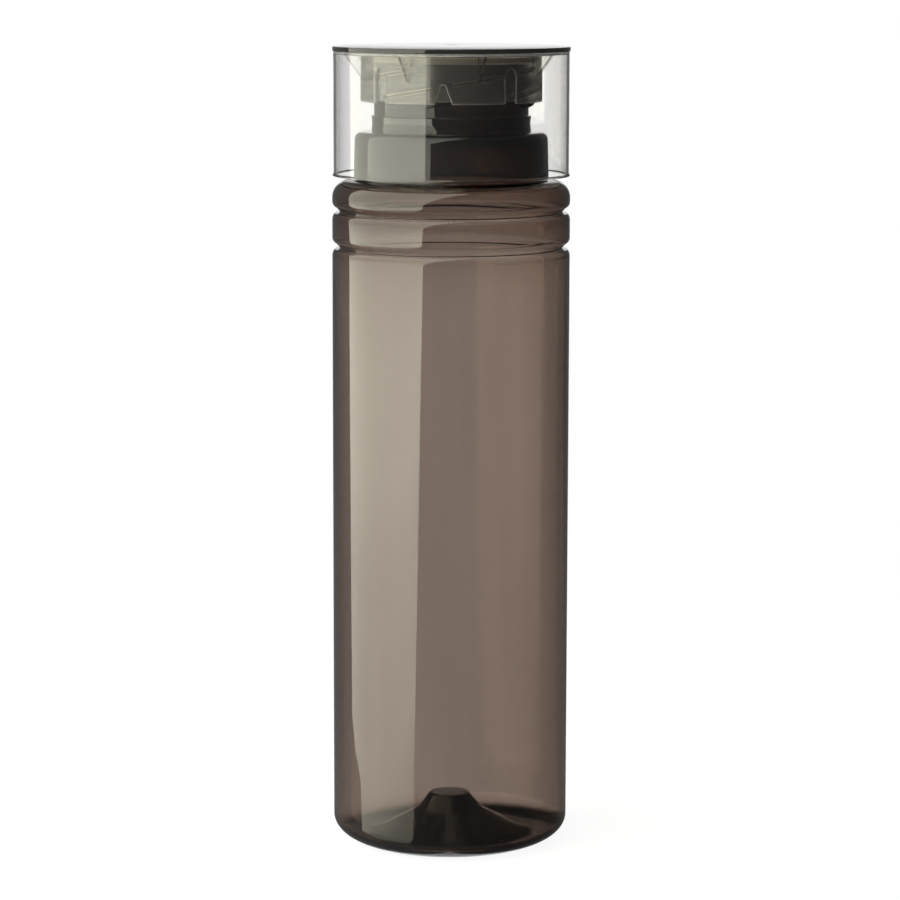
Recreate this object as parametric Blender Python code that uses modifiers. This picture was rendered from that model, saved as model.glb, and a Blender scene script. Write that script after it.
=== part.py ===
"""Clear drinking bottle with a screw cap, modelled at its real size in metres.

The bottle stands on z = 0 with its axis on Z, and its front looks along -Y.
It comes apart into four pieces: the blown bottle body, the moulded screw cap with
its disc, skirt and gussets, the clear sleeve fixed under the rim of that disc, and
the seal ring inside the cap. The cap turns on a four-start thread.
"""

from math import cos, pi, radians, sin, sqrt, tau

import bmesh
import bpy
from mathutils import Matrix, Vector

# Facets and clearances
ROUND_STEPS = 48
ARC_STEPS = 2
FINE_ARC_STEPS = 5
THREAD_STEP = radians(6)
FACET_MERGE = 0.00001
SEAT_GAP = 0.0003
OVERRUN = 0.001
SUNK = 0.0003

# Barrel
BODY_RADIUS = 0.0375
BODY_WALL = 0.0013
BARREL_HEIGHT = 0.1905
HEEL_WIDTH = 0.011
HEEL_HEIGHT = 0.0078
BASE_WALL = 0.0023
INNER_HEEL_START = radians(-60)
STANDING_RING_WIDTH = 0.003

# Push-up in the base, whose middle is a flat boss
PUNT_HEIGHT = 0.0109
PUNT_BOSS_RADIUS = 0.0054
PUNT_KNEE_RADIUS = 0.0102
PUNT_KNEE_HEIGHT = 0.0066
PUNT_ROUNDING = 0.0035
PUNT_BOSS_ROUNDING = 0.001

# The two grooves round the top of the barrel
GROOVE_DEPTH = 0.0021
GROOVE_UPPER_FLANK = 0.0021
GROOVE_LOWER_FLANK = 0.0014
GROOVE_ROUNDING = 0.0006
GROOVE_PITCH = 0.0113

# Shoulder, dome, collar and neck, one above the other
SHOULDER_RISE = 0.0101
SHOULDER_CORNER_WIDTH = 0.006
SHOULDER_CORNER_HEIGHT = 0.0056
DOME_HEIGHT = 0.015
DOME_STEP = 0.0052
DOME_FLARE = 0.0004
DOME_CORNER = 0.0036
COLLAR_HEIGHT = 0.005
COLLAR_STEP = 0.00085
COLLAR_WAIST = 0.0003
NECK_HEIGHT = 0.0165
NECK_RADIUS = 0.02425
NECK_WALL = 0.0022
RIM_ROUNDING = 0.0005

# Four-start thread, right-handed, shared by the neck and the cap
THREAD_STARTS = 4
THREAD_LEAD = 0.0275
THREAD_ROOM = 0.00275
THREAD_CLEARANCE = 0.00035
THREAD_CREST_CLEARANCE = 0.00065
THREAD_FLANK = 0.0003
NECK_THREAD_WIDTH = 0.0018
NECK_THREAD_START_ANGLE = radians(-23.4)
NECK_THREAD_START_DEPTH = 0.0132
NECK_THREAD_SWEEP = radians(146)
CAP_THREAD_WIDTH = 0.0016
CAP_THREAD_GAP = radians(10.3)
CAP_THREAD_SWEEP = radians(68)
THREAD_END_SHARE = 0.5

# Seal ring
SEAL_THICKNESS = 0.0017
SEAL_WIDTH = 0.0062

# Disc and skirt of the screw cap
DISC_INSET = 0.00015
DISC_THICKNESS = 0.0016
DISC_ROUNDING = 0.0003
BOSS_INSET = 0.00295
BOSS_DEPTH = 0.0014
GATE_RADIUS = 0.0013
GATE_DEPTH = 0.0004
SKIRT_LENGTH = 0.0145
SKIRT_WALL = 0.0015
SKIRT_ROUNDING = 0.0004
MOUTH_WIDENING = 0.0007
MOUTH_HEIGHT = 0.0007

# Gussets between the skirt and the disc
GUSSET_COUNT = 8
GUSSET_THICKNESS = 0.0009
GUSSET_HEIGHT = 0.0078
GUSSET_EDGE_INSET = 0.0002

# Recesses in the skirt's outside, arches and notches in turn round the cap
RECESS_DEPTH = 0.001
NOTCH_ANGLE = radians(-5)
NOTCH_PAIRS = 4
NOTCH_WIDTH = 0.0055
NOTCH_HEIGHT = 0.0059
NOTCH_TOP_WIDTH = 0.0018
ARCH_WIDTH = 0.0044
ARCH_HEIGHT = 0.0106
ARCH_SPRING_HEIGHT = 0.0082
ARCH_HAUNCH_WIDTH_SHARE = 0.66
ARCH_HAUNCH_HEIGHT_SHARE = 0.5

# Clear sleeve
SLEEVE_WALL = 0.0011
SLEEVE_INSET = 0.0003
SLEEVE_LEDGE = 0.0006
SLEEVE_RIM_GAP = 0.0011
SLEEVE_LIP = 0.0003
SLEEVE_LIP_HEIGHT = 0.0008

# Heights above the standing plane that follow from the sizes above
LOWER_GROOVE_Z = BARREL_HEIGHT
UPPER_GROOVE_Z = LOWER_GROOVE_Z + GROOVE_PITCH
SHOULDER_Z = UPPER_GROOVE_Z + SHOULDER_RISE
DOME_TOP_Z = SHOULDER_Z + DOME_HEIGHT
COLLAR_TOP_Z = DOME_TOP_Z + COLLAR_HEIGHT
RIM_Z = COLLAR_TOP_Z + NECK_HEIGHT
SEAL_Z = RIM_Z + SEAT_GAP
BOSS_Z = SEAL_Z + SEAL_THICKNESS + SEAT_GAP
DISC_Z = BOSS_Z + BOSS_DEPTH
TOP_Z = DISC_Z + DISC_THICKNESS
SKIRT_END_Z = BOSS_Z - SKIRT_LENGTH
LEDGE_Z = DISC_Z - SEAT_GAP
SLEEVE_RIM_Z = SHOULDER_Z + SLEEVE_RIM_GAP

# Radii that follow from the sizes above
BORE_RADIUS = NECK_RADIUS - NECK_WALL
COLLAR_RADIUS = NECK_RADIUS + COLLAR_STEP
DOME_RADIUS = COLLAR_RADIUS + DOME_STEP
SKIRT_BORE = NECK_RADIUS + THREAD_ROOM
SKIRT_RADIUS = SKIRT_BORE + SKIRT_WALL
NECK_THREAD_CREST = SKIRT_BORE - THREAD_CREST_CLEARANCE
CAP_THREAD_CREST = NECK_RADIUS + THREAD_CREST_CLEARANCE
DISC_RADIUS = BODY_RADIUS - DISC_INSET
BOSS_RADIUS = DISC_RADIUS - BOSS_INSET
SLEEVE_RADIUS = DISC_RADIUS - SLEEVE_INSET
SLEEVE_BORE = SLEEVE_RADIUS - SLEEVE_WALL


def ellipse_arc(centre, width, height, start, end, steps):
    """Points on an upright ellipse, both ends included; angles are counted from +X."""
    points = []
    for step in range(steps + 1):
        angle = start + (end - start) * step / steps
        points.append((centre[0] + width * cos(angle), centre[1] + height * sin(angle)))
    return points


def rounded(stations):
    """Turn (x, y) and (x, y, radius) stations into points, with an arc at each radius."""
    points = []
    for index, station in enumerate(stations):
        corner = Vector(station[:2])
        if len(station) == 2:
            points.append(tuple(corner))
            continue
        before = Vector(stations[index - 1][:2]) - corner
        after = Vector(stations[(index + 1) % len(stations)][:2]) - corner
        half = before.angle(after) / 2
        # No arc starts beyond the middle of the shorter side beside it
        reach = min(station[2] * cos(half) / sin(half), before.length / 2, after.length / 2)
        radius = reach * sin(half) / cos(half)
        middle = (before.normalized() + after.normalized()).normalized()
        centre = corner + middle * (radius / sin(half))
        first = corner + before.normalized() * reach - centre
        last = corner + after.normalized() * reach - centre
        turn = first.angle_signed(last)
        for step in range(ARC_STEPS + 1):
            spoke = first.copy()
            spoke.rotate(Matrix.Rotation(-turn * step / ARC_STEPS, 2))
            points.append(tuple(centre + spoke))
    return points


def link(name, mesh, collection):
    """Put a mesh in the scene as an object of the given collection."""
    thing = bpy.data.objects.new(name, mesh)
    collection.objects.link(thing)
    return thing


def turned(name, profile, closed, collection):
    """Turn an (x, z) profile about Z. It runs down the outer side, top to bottom."""
    mesh = bpy.data.meshes.new(name)
    edges = [(index, index + 1) for index in range(len(profile) - 1)]
    if closed:
        edges.append((len(profile) - 1, 0))
    mesh.from_pydata([(x, 0, z) for x, z in profile], edges, [])
    thing = link(name, mesh, collection)
    screw = thing.modifiers.new("Turn", "SCREW")
    screw.axis = "Z"
    screw.angle = tau
    screw.steps = ROUND_STEPS
    screw.render_steps = ROUND_STEPS
    screw.use_merge_vertices = True
    screw.merge_threshold = FACET_MERGE
    screw.use_smooth_shade = True
    return thing


def flat_prism(name, outline, thickness):
    """Mesh of a closed XY outline, spread evenly about its plane along local Z."""
    curve = bpy.data.curves.new(name, "CURVE")
    curve.dimensions = "2D"
    curve.fill_mode = "BOTH"
    curve.extrude = thickness / 2
    spline = curve.splines.new("POLY")
    spline.points.add(len(outline) - 1)
    for point, (x, y) in zip(spline.points, outline):
        point.co = (x, y, 0, 1)
    spline.use_cyclic_u = True
    holder = bpy.data.objects.new(name, curve)
    bpy.context.scene.collection.objects.link(holder)
    evaluated = holder.evaluated_get(bpy.context.evaluated_depsgraph_get())
    mesh = bpy.data.meshes.new_from_object(evaluated)
    bpy.data.objects.remove(holder)
    bpy.data.curves.remove(curve)
    return mesh


def copies(name, mesh, matrices, collection):
    """One tool object that holds a closed copy of the mesh at each matrix."""
    gathered = bmesh.new()
    for matrix in matrices:
        piece = bmesh.new()
        piece.from_mesh(mesh)
        bmesh.ops.remove_doubles(piece, verts=piece.verts, dist=FACET_MERGE)
        bmesh.ops.transform(piece, matrix=matrix, verts=piece.verts)
        bmesh.ops.recalc_face_normals(piece, faces=piece.faces)
        placed = bpy.data.meshes.new(name)
        piece.to_mesh(placed)
        piece.free()
        gathered.from_mesh(placed)
        bpy.data.meshes.remove(placed)
    result = bpy.data.meshes.new(name)
    gathered.to_mesh(result)
    gathered.free()
    return tool(name, result, collection)


def tool(name, mesh, collection):
    """A helper solid that shapes another one and isn't part of the object."""
    thing = link(name, mesh, collection)
    thing.hide_render = True
    thing.display_type = "WIRE"
    return thing


def boolean(thing, other, operation):
    """Join the tool to an object, or cut it out, with a modifier that stays on it."""
    modifier = thing.modifiers.new(other.name, "BOOLEAN")
    modifier.operation = operation
    modifier.solver = "EXACT"
    modifier.object = other


def smooth_by_area(thing):
    """Shade the turned faces smooth and let the flat ones keep their own normals."""
    weighting = thing.modifiers.new("Weighted normals", "WEIGHTED_NORMAL")
    weighting.mode = "FACE_AREA_WITH_ANGLE"


def front_angle(angle):
    """Angle from +X of a place that lies angle to the right of the front."""
    return angle - pi / 2


def helix_ridges(name, root, crest, width, spans, collection):
    """Thread ridges with rounded ends. A span is (start angle, height there, sweep)."""
    bm = bmesh.new()
    for start, height, sweep in spans:
        steps = max(2, round(sweep / THREAD_STEP))
        rounding = width / 2 / max(root, crest)
        angles = [0, rounding / 2, rounding]
        inner = [sweep * step / steps for step in range(1, steps)]
        angles += [angle for angle in inner if rounding < angle < sweep - rounding]
        angles += [sweep - rounding, sweep - rounding / 2, sweep]
        sections = [ridge_section(bm, root, crest, width, start, height, sweep, rounding, angle)
                    for angle in angles]
        for low, high in zip(sections, sections[1:]):
            for index in range(len(low)):
                following = (index + 1) % len(low)
                bm.faces.new((low[index], low[following], high[following], high[index]))
        bm.faces.new(sections[0])
        bm.faces.new(sections[-1])
    bmesh.ops.recalc_face_normals(bm, faces=bm.faces)
    mesh = bpy.data.meshes.new(name)
    bm.to_mesh(mesh)
    bm.free()
    return tool(name, mesh, collection)


def ridge_section(bm, root, crest, width, start, height, sweep, rounding, angle):
    """The four corners of a thread's section, narrower within its rounded ends."""
    from_end = min(angle, sweep - angle, rounding) / rounding
    half = width / 2 * max(THREAD_END_SHARE, sqrt(1 - (1 - from_end) ** 2))
    middle = height + THREAD_LEAD * angle / tau
    turn = front_angle(start + angle)
    half_crest = half - THREAD_FLANK
    corners = ((root, -half), (crest, -half_crest), (crest, half_crest), (root, half))
    return [bm.verts.new((radius * cos(turn), radius * sin(turn), middle + rise))
            for radius, rise in corners]


def groove_stations(middle, radius, edge_rounding):
    """The stations of one groove, from its upper edge to its lower edge."""
    return [
        (radius, middle + GROOVE_UPPER_FLANK, *edge_rounding),
        (radius - GROOVE_DEPTH, middle, GROOVE_ROUNDING),
        (radius, middle - GROOVE_LOWER_FLANK, *edge_rounding),
    ]


def body_profile():
    """Inner floor, inner wall, rim, outer wall and base of the bottle, axis to axis."""
    inner_radius = BODY_RADIUS - BODY_WALL
    shoulder_start = BODY_RADIUS - SHOULDER_CORNER_WIDTH
    shoulder_foot_z = SHOULDER_Z - SHOULDER_CORNER_HEIGHT
    dome_foot = DOME_RADIUS + DOME_FLARE
    heel_start = BODY_RADIUS - HEEL_WIDTH
    collar_middle_z = (DOME_TOP_Z + COLLAR_TOP_Z) / 2
    floor = rounded([
        (0, PUNT_HEIGHT + BASE_WALL),
        (PUNT_BOSS_RADIUS, PUNT_HEIGHT + BASE_WALL, PUNT_BOSS_ROUNDING),
        (PUNT_KNEE_RADIUS, PUNT_KNEE_HEIGHT + BASE_WALL, PUNT_ROUNDING),
        (heel_start, BASE_WALL, PUNT_ROUNDING),
        (heel_start + BASE_WALL, BASE_WALL),
    ])[:-1]
    inner_heel = ellipse_arc((heel_start, HEEL_HEIGHT), HEEL_WIDTH - BODY_WALL,
                             HEEL_HEIGHT - BASE_WALL, INNER_HEEL_START, 0, ARC_STEPS)
    inner_wall = rounded([
        (inner_radius, HEEL_HEIGHT),
        *reversed(groove_stations(LOWER_GROOVE_Z, inner_radius, ())),
        *reversed(groove_stations(UPPER_GROOVE_Z, inner_radius, ())),
        (inner_radius, shoulder_foot_z),
    ])[1:-1]
    inner_shoulder = ellipse_arc((shoulder_start, shoulder_foot_z), SHOULDER_CORNER_WIDTH - BODY_WALL,
                                 SHOULDER_CORNER_HEIGHT - BODY_WALL, 0, pi / 2, FINE_ARC_STEPS)
    inner_neck = rounded([
        (shoulder_start, SHOULDER_Z - BODY_WALL),
        (dome_foot - BODY_WALL, SHOULDER_Z - BODY_WALL, RIM_ROUNDING),
        (DOME_RADIUS - BODY_WALL, DOME_TOP_Z - BODY_WALL, DOME_CORNER - BODY_WALL),
        (BORE_RADIUS, DOME_TOP_Z - BODY_WALL, RIM_ROUNDING),
        (BORE_RADIUS, RIM_Z, RIM_ROUNDING),
        (NECK_RADIUS, RIM_Z, RIM_ROUNDING),
        (NECK_RADIUS, COLLAR_TOP_Z),
        (COLLAR_RADIUS, COLLAR_TOP_Z),
        (COLLAR_RADIUS - COLLAR_WAIST, collar_middle_z),
        (COLLAR_RADIUS, DOME_TOP_Z),
        (DOME_RADIUS, DOME_TOP_Z, DOME_CORNER),
        (dome_foot, SHOULDER_Z, RIM_ROUNDING),
        (shoulder_start, SHOULDER_Z),
    ])[1:-1]
    shoulder = ellipse_arc((shoulder_start, shoulder_foot_z), SHOULDER_CORNER_WIDTH,
                           SHOULDER_CORNER_HEIGHT, pi / 2, 0, FINE_ARC_STEPS)
    wall = rounded([
        (BODY_RADIUS, shoulder_foot_z),
        *groove_stations(UPPER_GROOVE_Z, BODY_RADIUS, (GROOVE_ROUNDING,)),
        *groove_stations(LOWER_GROOVE_Z, BODY_RADIUS, (GROOVE_ROUNDING,)),
        (BODY_RADIUS, HEEL_HEIGHT),
    ])[1:-1]
    heel = ellipse_arc((heel_start, HEEL_HEIGHT), HEEL_WIDTH, HEEL_HEIGHT, 0, -pi / 2, FINE_ARC_STEPS)
    base = rounded([
        (heel_start, 0),
        (heel_start - STANDING_RING_WIDTH, 0),
        (PUNT_KNEE_RADIUS, PUNT_KNEE_HEIGHT, PUNT_ROUNDING),
        (PUNT_BOSS_RADIUS, PUNT_HEIGHT, PUNT_BOSS_ROUNDING),
        (0, PUNT_HEIGHT),
    ])[1:]
    return floor + inner_heel + inner_wall + inner_shoulder + inner_neck + shoulder + wall + heel + base


def cap_profile():
    """Disc, boss and skirt of the screw cap, from the top of its axis to its underside."""
    return rounded([
        (0, TOP_Z - GATE_DEPTH),
        (GATE_RADIUS, TOP_Z - GATE_DEPTH),
        (GATE_RADIUS + GATE_DEPTH, TOP_Z),
        (DISC_RADIUS, TOP_Z, DISC_ROUNDING),
        (DISC_RADIUS, DISC_Z),
        (BOSS_RADIUS, DISC_Z),
        (BOSS_RADIUS, BOSS_Z),
        (SKIRT_RADIUS, BOSS_Z),
        (SKIRT_RADIUS, SKIRT_END_Z, SKIRT_ROUNDING),
        (SKIRT_BORE + MOUTH_WIDENING, SKIRT_END_Z),
        (SKIRT_BORE + MOUTH_WIDENING, SKIRT_END_Z + MOUTH_HEIGHT),
        (SKIRT_BORE, SKIRT_END_Z + MOUTH_HEIGHT),
        (SKIRT_BORE, BOSS_Z),
        (0, BOSS_Z),
    ])


def sleeve_profile():
    """The sleeve's ledge and wall, with a small lip at its lower rim."""
    lip_radius = SLEEVE_RADIUS + SLEEVE_LIP
    return rounded([
        (BOSS_RADIUS + SEAT_GAP, LEDGE_Z),
        (SLEEVE_RADIUS, LEDGE_Z, SLEEVE_LIP),
        (SLEEVE_RADIUS, SLEEVE_RIM_Z + SLEEVE_LIP_HEIGHT),
        (lip_radius, SLEEVE_RIM_Z + SLEEVE_LIP),
        (lip_radius, SLEEVE_RIM_Z),
        (SLEEVE_BORE, SLEEVE_RIM_Z),
        (SLEEVE_BORE, LEDGE_Z - SLEEVE_LEDGE, SLEEVE_LIP),
        (BOSS_RADIUS + SEAT_GAP, LEDGE_Z - SLEEVE_LEDGE),
    ])


def make_body(parts, tools):
    body = turned("bottle_body", body_profile(), False, parts)
    spans = [(NECK_THREAD_START_ANGLE + tau * start / THREAD_STARTS, RIM_Z - NECK_THREAD_START_DEPTH,
              NECK_THREAD_SWEEP) for start in range(THREAD_STARTS)]
    threads = helix_ridges("neck_thread", NECK_RADIUS - SUNK, NECK_THREAD_CREST, NECK_THREAD_WIDTH,
                           spans, tools)
    boolean(body, threads, "UNION")
    return body


def cap_thread_height(angle):
    """Height of the cap's thread at an angle, drawn up against the thread above it."""
    drop = (NECK_THREAD_WIDTH + CAP_THREAD_WIDTH) / 2 + THREAD_CLEARANCE
    neck_height = RIM_Z - NECK_THREAD_START_DEPTH
    turned_by = angle - NECK_THREAD_START_ANGLE
    return neck_height - drop + THREAD_LEAD * (turned_by / tau + 1 / THREAD_STARTS)


def make_cap(parts, tools):
    cap = turned("screw_cap", cap_profile(), False, parts)
    past_notch = CAP_THREAD_GAP / 2
    to_arch = pi / NOTCH_PAIRS
    spans = []
    for start in range(THREAD_STARTS):
        notch = NOTCH_ANGLE + tau * start / THREAD_STARTS
        spans.append((notch + past_notch, cap_thread_height(NOTCH_ANGLE + past_notch), CAP_THREAD_SWEEP))
        spans.append((notch - to_arch, cap_thread_height(NOTCH_ANGLE - to_arch), to_arch - past_notch))
    threads = helix_ridges("cap_thread", SKIRT_BORE + SUNK, CAP_THREAD_CREST, CAP_THREAD_WIDTH, spans, tools)
    boolean(cap, threads, "UNION")
    boolean(cap, gussets(tools), "UNION")
    boolean(cap, skirt_recesses("notches", notch_outline(), NOTCH_ANGLE, tools), "DIFFERENCE")
    arch_angle = NOTCH_ANGLE + pi / NOTCH_PAIRS
    boolean(cap, skirt_recesses("arches", arch_outline(), arch_angle, tools), "DIFFERENCE")
    return cap


def gussets(tools):
    """Thin upright plates that taper from the boss down to the skirt."""
    inner = SKIRT_RADIUS - SUNK
    outer = BOSS_RADIUS - GUSSET_EDGE_INSET
    outline = [
        (inner, BOSS_Z + SUNK),
        (inner, BOSS_Z - GUSSET_HEIGHT),
        (SKIRT_RADIUS, BOSS_Z - GUSSET_HEIGHT),
        (outer, BOSS_Z - GUSSET_EDGE_INSET),
        (outer, BOSS_Z + SUNK),
    ]
    plate = flat_prism("gusset", outline, GUSSET_THICKNESS)
    upright = Matrix.Rotation(pi / 2, 4, "X")
    first = NOTCH_ANGLE + pi / GUSSET_COUNT
    matrices = [Matrix.Rotation(front_angle(first + tau * index / GUSSET_COUNT), 4, "Z") @ upright
                for index in range(GUSSET_COUNT)]
    return copies("gussets", plate, matrices, tools)


def notch_outline():
    """Wedge-shaped recess with a rounded top, across and up from the skirt's edge."""
    spread = (NOTCH_WIDTH - NOTCH_TOP_WIDTH) / 2 / NOTCH_HEIGHT
    half_low = NOTCH_WIDTH / 2 + spread * OVERRUN
    half_top = NOTCH_TOP_WIDTH / 2
    return rounded([
        (-half_low, -OVERRUN),
        (half_low, -OVERRUN),
        (half_top, NOTCH_HEIGHT, half_top),
        (-half_top, NOTCH_HEIGHT, half_top),
    ])


def arch_outline():
    """Tall recess with straight sides and a pointed top."""
    half = ARCH_WIDTH / 2
    haunch = half * ARCH_HAUNCH_WIDTH_SHARE
    haunch_height = ARCH_SPRING_HEIGHT + (ARCH_HEIGHT - ARCH_SPRING_HEIGHT) * ARCH_HAUNCH_HEIGHT_SHARE
    return [
        (-half, -OVERRUN),
        (half, -OVERRUN),
        (half, ARCH_SPRING_HEIGHT),
        (haunch, haunch_height),
        (0, ARCH_HEIGHT),
        (-haunch, haunch_height),
        (-half, ARCH_SPRING_HEIGHT),
    ]


def skirt_recesses(name, outline, first_angle, tools):
    """Cutters that leave a thin web of the skirt, at even steps round it."""
    inner = SKIRT_RADIUS - RECESS_DEPTH
    outer = SKIRT_RADIUS + OVERRUN
    prism = flat_prism(name, outline, outer - inner)
    upright = Matrix.Rotation(pi / 2, 4, "X")
    outward = Matrix.Translation((0, -(inner + outer) / 2, SKIRT_END_Z))
    matrices = [Matrix.Rotation(first_angle + tau * index / NOTCH_PAIRS, 4, "Z") @ outward @ upright
                for index in range(NOTCH_PAIRS)]
    return copies(name, prism, matrices, tools)


def make_sleeve(parts):
    return turned("cap_sleeve", sleeve_profile(), True, parts)


def make_seal(parts):
    outer = SKIRT_BORE - SEAT_GAP
    inner = outer - SEAL_WIDTH
    profile = [
        (inner, SEAL_Z + SEAL_THICKNESS),
        (outer, SEAL_Z + SEAL_THICKNESS),
        (outer, SEAL_Z),
        (inner, SEAL_Z),
    ]
    return turned("cap_seal", profile, True, parts)


def finish(thing, name, colour, roughness, transmission):
    """Give an object a material of its own."""
    material = bpy.data.materials.new(name)
    material.use_nodes = True
    shader = material.node_tree.nodes["Principled BSDF"]
    shader.inputs["Base Color"].default_value = (*colour, 1)
    shader.inputs["Roughness"].default_value = roughness
    shader.inputs["Metallic"].default_value = 0
    shader.inputs["Transmission Weight"].default_value = transmission
    thing.data.materials.append(material)
    smooth_by_area(thing)


def main():
    for leftover in list(bpy.data.objects):
        bpy.data.objects.remove(leftover)
    parts = bpy.data.collections.new("water_bottle")
    tools = bpy.data.collections.new("tools")
    bpy.context.scene.collection.children.link(parts)
    bpy.context.scene.collection.children.link(tools)

    finish(make_body(parts, tools), "smoke_plastic_body", (0.20, 0.165, 0.14), 0.05, 1)
    finish(make_cap(parts, tools), "smoke_plastic_cap", (0.30, 0.28, 0.24), 0.05, 1)
    finish(make_sleeve(parts), "clear_plastic", (0.88, 0.87, 0.86), 0.03, 1)
    finish(make_seal(parts), "silicone", (0.42, 0.39, 0.33), 0.5, 0)


main()
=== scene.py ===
"""Looks of a smoke-tinted drinking bottle with a clear sleeve round its screw cap.

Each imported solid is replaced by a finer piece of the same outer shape, because the
tint, the dark edges and the reflections of see-through plastic all come from the
true curves of both faces of its walls. Units are metres and radians.
"""

from math import ceil, cos, pi, radians, sin, sqrt, tau

import bmesh
import bpy
from mathutils import Matrix, Vector, noise


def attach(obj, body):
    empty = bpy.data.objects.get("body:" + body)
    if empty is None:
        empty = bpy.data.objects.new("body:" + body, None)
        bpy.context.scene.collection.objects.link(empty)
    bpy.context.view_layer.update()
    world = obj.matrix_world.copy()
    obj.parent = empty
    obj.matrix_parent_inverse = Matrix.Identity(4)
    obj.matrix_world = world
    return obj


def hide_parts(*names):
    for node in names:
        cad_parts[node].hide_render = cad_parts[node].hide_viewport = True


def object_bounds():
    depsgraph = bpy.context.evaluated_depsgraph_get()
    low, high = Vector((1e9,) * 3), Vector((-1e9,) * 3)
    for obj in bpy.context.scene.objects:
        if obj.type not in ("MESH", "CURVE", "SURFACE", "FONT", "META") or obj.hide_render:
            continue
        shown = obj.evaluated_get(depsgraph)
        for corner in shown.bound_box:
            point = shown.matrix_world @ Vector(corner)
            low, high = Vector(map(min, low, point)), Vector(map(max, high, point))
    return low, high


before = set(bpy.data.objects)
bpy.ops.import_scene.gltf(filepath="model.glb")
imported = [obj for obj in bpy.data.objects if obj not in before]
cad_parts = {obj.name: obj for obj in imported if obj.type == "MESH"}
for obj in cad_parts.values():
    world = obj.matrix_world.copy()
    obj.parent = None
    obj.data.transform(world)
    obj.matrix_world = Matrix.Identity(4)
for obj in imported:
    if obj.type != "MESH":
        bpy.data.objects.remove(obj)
cad_low, cad_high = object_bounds()

# Facets
ROUND_STEPS = 192
ARC_ANGLE = radians(9)
THREAD_STEP = radians(3)
THREAD_END_STEPS = 4
FLOOR_STEPS = 128
CRISP_EDGE = radians(32)

# Gap between seated pieces, and how far cutters pass a face and joined parts sink into it
SEAT_GAP = 0.0003
OVERRUN = 0.001
SUNK = 0.0003

# Barrel
BODY_RADIUS = 0.0375
BODY_WALL = 0.0007
UPPER_BARREL_Z = 0.17
UPPER_BAND_WALL = 0.00104
SHOULDER_SIDE_WALL = 0.0011
SHOULDER_TOP_WALL = 0.001
BARREL_HEIGHT = 0.1905
HEEL_WIDTH = 0.011
HEEL_HEIGHT = 0.0078
BASE_WALL = 0.0013
KNEE_WALL = 0.0036
BOSS_WALL = 0.0045
INNER_HEEL_START = radians(-60)
STANDING_RING_WIDTH = 0.003

# Slight waves and streaks of the barrel's inner face
WALL_RINGS = 40
SAME_RADIUS = 0.00001
WAVE_DEPTH = 0.00006
WAVE_WIDTH = 0.018
WAVE_HEIGHT = 0.12
STREAK_DEPTH = 0.00005
STREAK_WIDTH = 0.0045
STREAK_HEIGHT = 0.1

# Push-up in the base
PUNT_HEIGHT = 0.0109
PUNT_BOSS_RADIUS = 0.0054
PUNT_KNEE_RADIUS = 0.0102
PUNT_KNEE_HEIGHT = 0.0066
PUNT_ROUNDING = 0.0035
PUNT_BOSS_ROUNDING = 0.001
INNER_BOSS_WIDENING = 0.0008
INNER_BOSS_ROUNDING = 0.0007
FLOOR_ROUNDING = 0.007

# Grooves
GROOVE_DEPTH = 0.0026
GROOVE_UPPER_FLANK = 0.0021
GROOVE_LOWER_FLANK = 0.0004
GROOVE_UPPER_ROUNDING = 0.0022
BAND_CORNER_WIDTH = 0.0012
BAND_CORNER_HEIGHT = 0.0024
GROOVE_VALLEY_ROUNDING = 0.00025
INNER_VALLEY_ROUNDING = 0.0008
GROOVE_PITCH = 0.0113

# Shoulder, dome, collar and neck
SHOULDER_RISE = 0.0101
SHOULDER_CORNER_WIDTH = 0.006
SHOULDER_CORNER_HEIGHT = 0.0056
DOME_HEIGHT = 0.015
DOME_STEP = 0.0052
DOME_FLARE = 0.0004
DOME_FOOT_ROUNDING = 0.0015
DOME_CORNER = 0.0036
DOME_WALL = 0.0022
COLLAR_HEIGHT = 0.005
COLLAR_STEP = 0.00085
COLLAR_WAIST = 0.0003
COLLAR_ROUNDING = 0.0002
NECK_HEIGHT = 0.0165
NECK_RADIUS = 0.02425
NECK_WALL = 0.0022
RIM_ROUNDING = 0.0005

# Thread
THREAD_STARTS = 4
THREAD_LEAD = 0.0275
THREAD_ROOM = 0.00275
THREAD_CLEARANCE = 0.00035
THREAD_CREST_CLEARANCE = 0.00065
THREAD_FLANK = 0.0003
THREAD_SHOULDER = 0.8
THREAD_SHOULDER_EASE = 0.4
THREAD_END_WIDTH = 0.35
THREAD_END_REACH = 0.3
NECK_THREAD_WIDTH = 0.0018
NECK_THREAD_START_ANGLE = radians(-23.4)
NECK_THREAD_START_DEPTH = 0.0132
NECK_THREAD_SWEEP = radians(146)
CAP_THREAD_WIDTH = 0.0016
CAP_THREAD_GAP = radians(10.3)
CAP_THREAD_SWEEP = radians(68)

# Seal ring
SEAL_THICKNESS = 0.0017
SEAL_WIDTH = 0.0062
SEAL_ROUNDING = 0.0003

# Screw cap
DISC_INSET = 0.00015
DISC_BEVEL_WIDTH = 0.004
DISC_BEVEL_DROP = 0.0004
DISC_ROUNDING = 0.0003
HAIR_GAP = 0.00004
BOSS_INSET = 0.00295
BOSS_DEPTH = 0.0014
BOSS_ROUNDING = 0.0002
BOSS_EDGE_ROUNDING = 0.0007
GATE_RADIUS = 0.0013
GATE_DEPTH = 0.0004
SKIRT_LENGTH = 0.0145
SKIRT_WALL = 0.0015
SKIRT_ROUNDING = 0.0004
MOUTH_WIDENING = 0.0007
MOUTH_HEIGHT = 0.0007
MOUTH_ROUNDING = 0.0002
RECESS_DEPTH = 0.001
RECESS_EDGE = 0.00035
GUSSET_COUNT = 8
GUSSET_THICKNESS = 0.0009
GUSSET_HEIGHT = 0.0078
GUSSET_EDGE_INSET = 0.0002
NOTCH_ANGLE = radians(-5)
NOTCH_PAIRS = 4
NOTCH_WIDTH = 0.0055
NOTCH_HEIGHT = 0.0059
NOTCH_TOP_WIDTH = 0.0018
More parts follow.
